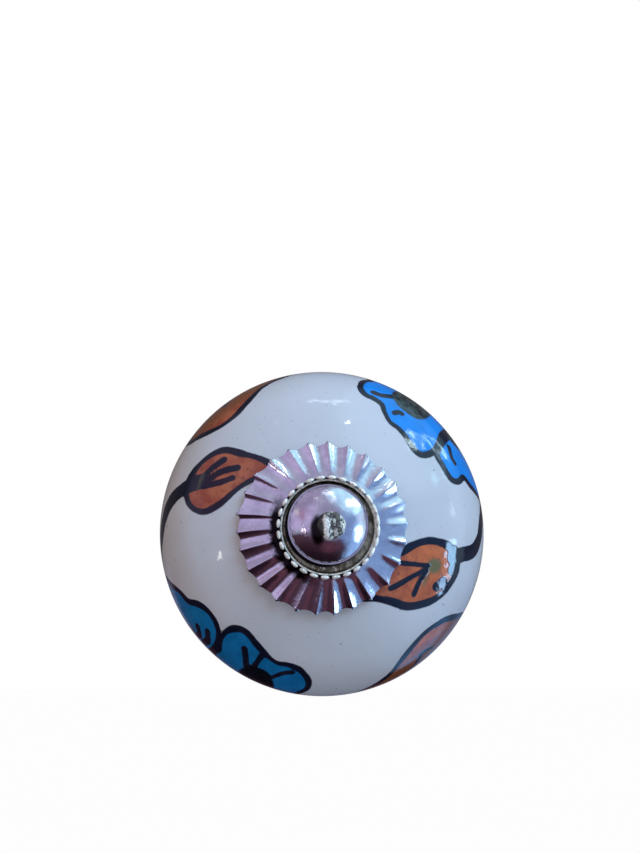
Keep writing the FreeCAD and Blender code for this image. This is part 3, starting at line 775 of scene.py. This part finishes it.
# Painted highlight: a cream glint on the right rim of the hammered end.
right_rim_glint = ramp(tree, side, 1.05 * mm, 1.25 * mm)
height_off = sums(tree, "ABSOLUTE", sums(tree, "SUBTRACT", rise, 0.35 * mm), 0.0)
right_rim_glint = sums(tree, "MULTIPLY", right_rim_glint, ramp(tree, height_off, 0.8 * mm, 0.5 * mm))
hammered = mixed(tree, right_rim_glint, hammered, (0.95, 0.92, 0.80, 1))
# Painted shade: the left side of the hammered end is darkened.
hammered = mixed(tree, ramp(tree, side, -0.90 * mm, -1.20 * mm), hammered, (0.055, 0.052, 0.048, 1))
cracked = sums(tree, "MULTIPLY", splits, sums(tree, "SUBTRACT", 1.0, sums(tree, "MULTIPLY", ridge_highlight, 0.75)))
hammered = mixed(tree, cracked, hammered, (0.02, 0.02, 0.02, 1))
tree.links.new(mixed(tree, front_part, plating["Colour"], hammered), shader.inputs["Base Color"])
tree.links.new(ramp(tree, front_part, 0.0, 1.0, 1.0, 0.5), shader.inputs["Metallic"])
tree.links.new(plating["Roughness"], shader.inputs["Roughness"])
height = sums(tree, "SUBTRACT", plating["Height"], sums(tree, "MULTIPLY", cracked, front_part))
bump = node(tree, "Bump", {"Height": height, "Distance": mm, "Strength": 0.10})
tree.links.new(bump.outputs[0], shader.inputs["Normal"])
stud = finished("stud_with_thread", bm, stud_metal, ["threaded_stud"], 40)

# Back collar
# A turned and plated base. The neck stands in the dish in its front, a lock nut sits in the
# recess in its back, and its rear rim bears on the drawer front.
collar_low, collar_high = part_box("back_collar")
foot_radius = collar_high.x
foot_length = 1.4 * mm
foot_chamfer = 0.3 * mm
collar_front = collar_low.y
lip_outer = 9.9 * mm
dish_inner = 9.1 * mm
lip_length = 1.0 * mm
recess_radius = 5.04 * mm
recess_depth = 2.8 * mm
stud_hole = 2.25 * mm
edge_round = 0.12 * mm


def softened(corners, radius):
    """A closed profile with each corner cut back by two small steps."""
    points = []
    for before, corner, after in zip(corners[-1:] + corners[:-1], corners, corners[1:] + corners[:1]):
        back = (before - corner).normalized() * radius
        ahead = (after - corner).normalized() * radius
        points += [corner + back, corner + 0.3 * (back + ahead), corner + ahead]
    return points


collar_corners = [Vector((radius, y, 0)) for radius, y in (
    (foot_radius, -foot_chamfer), (foot_radius - foot_chamfer, 0), (recess_radius, 0),
    (recess_radius, -recess_depth), (stud_hole, -recess_depth), (stud_hole, neck_end),
    (dish_inner, neck_end), (dish_inner, collar_front), (lip_outer, collar_front),
    (lip_outer, collar_front + lip_length), (foot_radius, -foot_length))]
bm = turned(softened(collar_corners, edge_round), 192)

collar_metal, tree, shader, place = new_material("collar_plating")
shader.inputs["Metallic"].default_value = 1.0
plating = node(tree, "Group", {
    "Place": place, "Lump Size": 4 * mm, "Dull Colour": (0.70, 0.69, 0.72, 1),
    "Bright Colour": (0.88, 0.87, 0.9, 1), "Least Roughness": 0.10, "Most Roughness": 0.24},
    node_tree=smudged_plating).outputs
tree.links.new(plating["Colour"], shader.inputs["Base Color"])
tree.links.new(plating["Roughness"], shader.inputs["Roughness"])
turning = node(tree, "Mapping", {"Vector": place, "Scale": (0.02, 1.0, 0.02)})
bump = node(tree, "Bump", {
    "Height": noise_at(tree, turning.outputs[0], 0.12 * mm, 2), "Distance": mm, "Strength": 0.01})
tree.links.new(bump.outputs[0], shader.inputs["Normal"])
collar = finished("turned_collar", bm, collar_metal, ["back_collar"], 40)

# Nuts
# Two hexagon nuts, pressed and zinc plated, with their corners turned off. One is in the collar's
# recess and clamps the knob together, and the other pulls it against the drawer front.
across_flats = 7.0 * mm
corner_radius = across_flats / 2 / math.cos(math.pi / 6)
nut_bore = 1.77 * mm
bevel_rise = (corner_radius - across_flats / 2) * math.tan(math.pi / 6)

nut_metal, tree, shader, place = new_material("zinc_plate")
shader.inputs["Metallic"].default_value = 1.0
plating = node(tree, "Group", {
    "Place": place, "Lump Size": 0.9 * mm, "Dull Colour": (0.52, 0.53, 0.53, 1),
    "Bright Colour": (0.76, 0.76, 0.72, 1), "Least Roughness": 0.22, "Most Roughness": 0.38},
    node_tree=smudged_plating).outputs
tree.links.new(plating["Colour"], shader.inputs["Base Color"])
tree.links.new(plating["Roughness"], shader.inputs["Roughness"])
bump = node(tree, "Bump", {"Height": plating["Height"], "Distance": mm, "Strength": 0.03})
tree.links.new(bump.outputs[0], shader.inputs["Normal"])

for nut_node, both_faces in (("lock_nut", False), ("fixing_nut", True)):
    nut_low, nut_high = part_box(nut_node)
    bm = bmesh.new()
    rings = [
        (nut_bore, nut_low.y + 0.35 * mm), (nut_bore + 0.35 * mm, nut_low.y),
        (across_flats / 2, nut_low.y), (corner_radius + 0.01 * mm, nut_low.y + bevel_rise * both_faces),
        (corner_radius + 0.01 * mm, nut_high.y - bevel_rise), (across_flats / 2, nut_high.y),
        (nut_bore + 0.35 * mm, nut_high.y), (nut_bore, nut_high.y - 0.35 * mm)]
    corners = [bm.verts.new((radius, y, 0)) for radius, y in rings]
    sides = [bm.edges.new(pair) for pair in zip(corners, corners[1:] + corners[:1])]
    bmesh.ops.spin(
        bm, geom=corners + sides, cent=(0, 0, 0), axis=(0, 1, 0), angle=math.tau, steps=96, use_merge=True)
    for side in range(6):
        clock = math.radians(60 * side + 30)
        flat = Vector((math.sin(clock), 0, math.cos(clock)))
        geometry = bm.verts[:] + bm.edges[:] + bm.faces[:]
        cut = bmesh.ops.bisect_plane(
            bm, geom=geometry, plane_co=flat * (across_flats / 2), plane_no=flat, clear_outer=True)
        rim = [item for item in cut["geom_cut"] if isinstance(item, bmesh.types.BMEdge)]
        bmesh.ops.edgenet_fill(bm, edges=rim)
    bmesh.ops.recalc_face_normals(bm, faces=bm.faces)
    nut = finished("hex_" + nut_node, bm, nut_metal, [nut_node], 25)

# Fixing washer
# A plain washer, stamped from sheet and zinc plated, with one edge rolled over by the punch.
washer_low, washer_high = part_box("fixing_washer")
washer_radius = washer_high.x
washer_bore = 2.15 * mm
washer_corners = [Vector((radius, y, 0)) for radius, y in (
    (washer_bore, washer_low.y), (washer_radius, washer_low.y), (washer_radius, washer_high.y),
    (washer_bore, washer_high.y))]
bm = turned(softened(washer_corners, 0.1 * mm), 128)
washer = finished("stamped_washer", bm, nut_metal, ["fixing_washer"], 40)

# Stage and light
# A pale floor well below the knob, a white world, a soft tent that only shines in reflections, with bright
# window panes on it, tall ones to the right and small ones above and to the left, and one soft key lamp.
white = (1, 1, 1, 1)


def seen_white(tree):
    """1 for rays from the camera, from glossy surfaces and through glass, which see a white backdrop."""
    rays = node(tree, "LightPath").outputs
    seen = sums(tree, "MAXIMUM", rays["Is Camera Ray"], rays["Is Glossy Ray"])
    return sums(tree, "MAXIMUM", seen, rays["Is Transmission Ray"])


world = bpy.data.worlds.new("white_room")
scene.world = world
world.use_nodes = True
tree = world.node_tree
background = tree.nodes["Background"]
fill = (0.70, 0.53, 0.43, 1)
left_fill = (0.79, 0.555, 0.43, 1)
back_fill = (0.22, 0.17, 0.14, 1)
direction = node(tree, "SeparateXYZ", {0: node(tree, "TexCoord").outputs["Generated"]}).outputs
room = mixed(tree, ramp(tree, direction["X"], 0.4, -0.8), fill, left_fill)
room = mixed(tree, ramp(tree, direction["Y"], -0.2, 0.7), room, back_fill)
tree.links.new(mixed(tree, seen_white(tree), room, white), background.inputs["Color"])

bm = bmesh.new()
bmesh.ops.create_grid(bm, x_segments=1, y_segments=1, size=3)
bmesh.ops.translate(bm, verts=bm.verts, vec=(0, 0, -80 * mm))
floor_mesh = bpy.data.meshes.new("floor")
bm.to_mesh(floor_mesh)
bm.free()
floor = bpy.data.objects.new("floor", floor_mesh)
scene.collection.objects.link(floor)
floor_material, tree, shader, place = new_material("floor_paper")
floor_mesh.materials.append(floor_material)
shader.inputs["Base Color"].default_value = (0.60, 0.60, 0.61, 1)
shader.inputs["Roughness"].default_value = 0.9
shine = node(tree, "Emission", {"Color": white, "Strength": 1.0})
both = node(tree, "MixShader", {0: sums(tree, "MULTIPLY", seen_white(tree), 0.98), 1: shader.outputs[0], 2: shine.outputs[0]})
tree.links.new(both.outputs[0], tree.nodes["Material Output"].inputs["Surface"])

tent_mesh = bpy.data.meshes.new("tent")
tent_radius = 0.6
tent_foot = -75 * mm
bm = bmesh.new()
bmesh.ops.create_icosphere(bm, subdivisions=5, radius=tent_radius)
for vert in bm.verts:
    vert.co.z = max(vert.co.z, tent_foot)
bmesh.ops.reverse_faces(bm, faces=bm.faces)
bm.to_mesh(tent_mesh)
bm.free()
tent = bpy.data.objects.new("tent", tent_mesh)
scene.collection.objects.link(tent)
tent.visible_camera = False
tent.visible_diffuse = False
tent.visible_shadow = False
tent.visible_transmission = False
tent_material, tree, shader, place = new_material("tent_cloth")
tent_mesh.materials.append(tent_material)
direction = node(tree, "VectorMath", {0: place}, operation="NORMALIZE").outputs[0]
apart = node(tree, "SeparateXYZ", {0: direction}).outputs
across, depth, up = apart["X"], apart["Y"], apart["Z"]
cloth = mixed(tree, ramp(tree, up, 0.0, 0.8), (0.30, 0.31, 0.46, 1), (0.42, 0.43, 0.58, 1))
cloth = mixed(tree, ramp(tree, across, -0.12, -0.50), cloth, (0.51, 0.45, 0.70, 1))
below = sums(tree, "ADD", up, sums(tree, "MULTIPLY", across, 0.16))
cloth = mixed(tree, ramp(tree, below, -0.17, -0.40), cloth, (0.062, 0.027, 0.044, 1))
cloth = mixed(tree, ramp(tree, below, -0.44, -0.78), cloth, (0.016, 0.007, 0.012, 1))
blue_start = ramp(tree, up, -0.10, -0.70, 0.13, 0.50)
blue_full = sums(tree, "ADD", blue_start, ramp(tree, up, -0.05, -0.30, 0.44, 0.20))
cloth = mixed(tree, ramp(tree, across, blue_start, blue_full), cloth, (0.215, 0.355, 0.64, 1))
behind = sums(tree, "MULTIPLY", ramp(tree, depth, -0.30, 0.05), ramp(tree, up, -0.30, 0.0))
cloth = mixed(tree, behind, cloth, (0.12, 0.115, 0.13, 1))

pane_group, taken, given = new_group(
    "window_pane",
    {"Direction": "Vector", "Middle": "Vector", "Sideways": "Vector", "Upwards": "Vector",
     "Half Width": "Float", "Half Height": "Float", "Softness": "Float"},
    {"Mask": "Float"})


def along_axis(axis, half):
    """How far the direction lies from the pane's middle along one of its axes, in half sizes."""
    product = node(pane_group, "VectorMath", {0: taken["Direction"], 1: taken[axis]}, operation="DOT_PRODUCT")
    return sums(pane_group, "POWER", sums(
        pane_group, "ABSOLUTE", sums(pane_group, "DIVIDE", product.outputs["Value"], taken[half]), 0.0), 3.0)


rim = sums(pane_group, "ADD", along_axis("Sideways", "Half Width"), along_axis("Upwards", "Half Height"))
facing = node(pane_group, "VectorMath", {0: taken["Direction"], 1: taken["Middle"]}, operation="DOT_PRODUCT")
soft_start = sums(pane_group, "SUBTRACT", 1.0, taken["Softness"])
inside_pane = ramp(pane_group, rim, 1.0, soft_start)
in_front = sums(pane_group, "GREATER_THAN", facing.outputs["Value"], 0.0)
pane_group.links.new(sums(pane_group, "MULTIPLY", inside_pane, in_front), given["Mask"])

streaks = noise_at(tree, node(tree, "Mapping", {"Vector": direction, "Scale": (1.0, 1.0, 0.35)}).outputs[0], 0.05, 3)
panes = [
    (67, 50, 42, 34, 0, 0.9, 0.0, (0.60, 1.00, 1.22)),
    (-62, 50, 26, 30, 0, 0.9, 0.0, (0.38, 0.34, 0.50)),
    (-52, 20, 8, 13, 10, 0.9, 0.0, (0.42, 0.25, 0.39)),
    (72, -42, 28, 24, 0, 0.9, 0.0, (0.34, 0.62, 1.05)),
    (76, 2, 12, 24, 0, 0.8, 0.3, (0.66, 0.90, 1.12)),
    (59, 41, 6.0, 5.0, 0, 0.5, 0.93, (14, 19, 21)),
    (98, -44, 20, 17, 0, 0.9, 0.0, (0.42, 1.05, 2.1)),
    (84, 38, 14, 6, -10, 0.5, 0.93, (8, 12, 14)),
    (70, 28, 4, 8, -30, 0.6, 0.93, (3.4, 5.4, 6.6)),
    (60, 24, 1.6, 3, 0, 0.8, 0.3, (2.2, 4.8, 5.6)),
    (66, 12, 0.9, 7, 5, 0.8, 0.5, (3.0, 4.0, 4.8)),
    (66, -7.5, 5.0, 7.6, 12, 0.4, 0.35, (8, 14, 21)),
    (61, -18.5, 3.4, 3.8, 25, 0.4, 0.2, (8, 13, 20)),
    (1, 66.5, 5.5, 1.4, 0, 0.6, 0.3, (4.6, 5.6, 6.6)),
    (22, 65.5, 4, 1.6, 0, 0.6, 0.3, (5.0, 6.0, 7.0)),
    (20, 53.5, 1.3, 0.9, 0, 0.5, 0.0, (22, 22.5, 23)),
    (-30, 53, 1.0, 0.8, 0, 0.5, 0.0, (9, 8.5, 8)),
    (-47.5, -8, 1.2, 1.3, 0, 0.5, 0.0, (18, 17, 16)),
    (-61, -9, 5, 4, 0, 0.8, 0.0, (0.36, 0.52, 0.60)),
    (8, -34, 17, 9, 0, 1.0, 0.0, (0.105, 0.040, 0.062)),
    (-66, 24, 4, 5, 0, 0.8, 0.3, (1.2, 1.15, 0.90))]
for azimuth, elevation, half_width, half_height, roll, softness, broken, shine in panes:
    around, above, tipped = (math.radians(angle) for angle in (azimuth, elevation, roll))
    middle = Vector((math.sin(around) * math.cos(above), -math.cos(around) * math.cos(above), math.sin(above)))
    sideways = middle.cross(Vector((0, 0, 1))).normalized() * -1
    upwards = middle.cross(sideways)
    mask = node(tree, "Group", {
        "Direction": direction, "Middle": middle,
        "Sideways": sideways * math.cos(tipped) + upwards * math.sin(tipped),
        "Upwards": upwards * math.cos(tipped) - sideways * math.sin(tipped),
        "Half Width": math.sin(math.radians(half_width)), "Half Height": math.sin(math.radians(half_height)),
        "Softness": softness}, node_tree=pane_group).outputs["Mask"]
    if broken:
        least = 0.36 + 0.12 * broken
        mask = sums(tree, "MULTIPLY", mask, ramp(tree, streaks, least, least + 0.16, 1 - broken, 1.0))
    cloth = mixed(tree, mask, cloth, (*shine, 1))
glow = node(tree, "Emission", {"Color": cloth, "Strength": 1.0})
tree.links.new(glow.outputs[0], tree.nodes["Material Output"].inputs["Surface"])

key_azimuth = math.radians(37)
key_elevation = math.radians(40)
key_distance = 0.5
key_towards = Vector((
    math.sin(key_azimuth) * math.cos(key_elevation), -math.cos(key_azimuth) * math.cos(key_elevation),
    math.sin(key_elevation)))
key_light = bpy.data.lights.new("soft_key", "AREA")
key_light.size = 0.35
key_light.energy = 2.68
key_light.color = (0.40, 0.76, 1.10)
key = bpy.data.objects.new("soft_key", key_light)
scene.collection.objects.link(key)
key.location = head_middle + key_towards * key_distance
key.rotation_mode = "QUATERNION"
key.rotation_quaternion = key_towards.to_track_quat("Z", "Y")
key.visible_glossy = False
